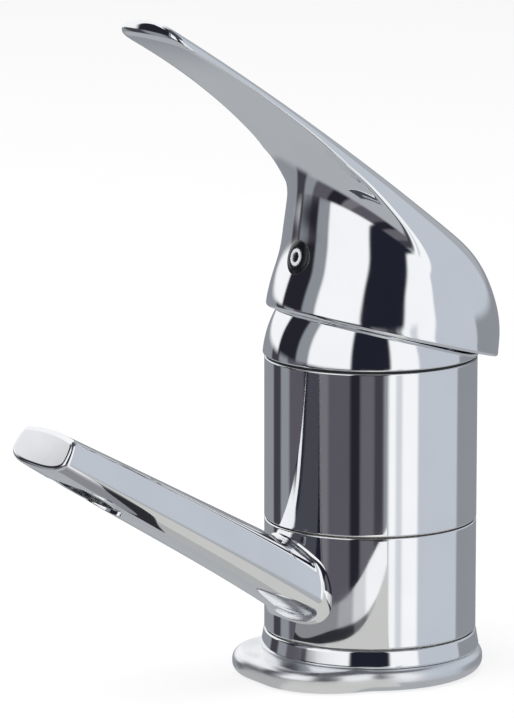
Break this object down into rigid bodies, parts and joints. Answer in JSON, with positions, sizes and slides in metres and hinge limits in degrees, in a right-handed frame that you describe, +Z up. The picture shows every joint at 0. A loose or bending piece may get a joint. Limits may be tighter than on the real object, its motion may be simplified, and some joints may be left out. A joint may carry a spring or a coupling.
{
  "type": "basin mixer tap",
  "caption": "Single-lever basin mixer: round chromed body on a foot plate, low rising swivel spout, lever that lifts for flow and turns for temperature.",
  "frame": {"origin": "centre of the body on the underside, at deck level", "axes": "+Z up along the body and swivel axis, spout and lever point to -Y, hot and cold sides at -X and +X"},
  "size_m": [0.053, 0.1171, 0.1527],
  "materials": {
    "chrome": "polished chrome plating",
    "rubber_seal": "matte",
    "steel": "satin",
    "brass": "machined",
    "acetal": "moulded",
    "ceramic": "ground and lapped",
    "dark_plastic": "moulded, glossy"
  },
  "bodies": {
    "base": {"base_plate": "chrome", "base_gasket": "rubber_seal", "base_ring": "chrome", "retaining_circlip": "steel", "valve_body": "chrome", "swivel_stop_pin": "steel", "lower_spout_seal": "rubber_seal", "upper_spout_seal": "rubber_seal", "lower_glide_ring": "acetal", "upper_glide_ring": "acetal", "cartridge_base": "acetal", "cartridge_port_seals": "rubber_seal", "fixed_ceramic_disc": "ceramic", "cartridge_housing": "acetal", "cartridge_nut": "brass", "cap_seat_ring": "rubber_seal", "dome_cap": "chrome"},
    "spout_arm": {"spout": "chrome", "aerator_housing": "chrome", "aerator_insert": "acetal", "aerator_regulator": "acetal", "aerator_gasket": "rubber_seal"},
    "rotor": {"cartridge_rotor": "acetal", "spindle_pivot_pin": "steel"},
    "carrier": {"disc_carrier": "acetal", "moving_ceramic_disc": "ceramic"},
    "lever": {"cartridge_spindle": "brass", "handle": "chrome", "handle_grub_screw": "steel", "index_plug": "dark_plastic"}
  },
  "joints": [
    {"name": "spout_swivel", "type": "hinge", "parent": "base", "child": "spout_arm", "pos_m": [0, 0, 0.022], "axis": [0, 0, 1], "range_deg": [-60, 60]},
    {"name": "temperature_turn", "type": "hinge", "parent": "base", "child": "rotor", "pos_m": [0, 0, 0.0706], "axis": [0, 0, 1], "range_deg": [-45, 45]},
    {"name": "lever_lift", "type": "hinge", "parent": "rotor", "child": "lever", "pos_m": [0, 0, 0.0706], "axis": [-1, 0, 0], "range_deg": [0, 24]},
    {"name": "disc_slide", "type": "slide", "parent": "rotor", "child": "carrier", "axis": [0, -1, 0], "range_m": [0, 0.007]}
  ],
  "couplings": [
    {"joint": "disc_slide", "follows": "lever_lift", "m_per_rad": 0.01628}
  ]
}
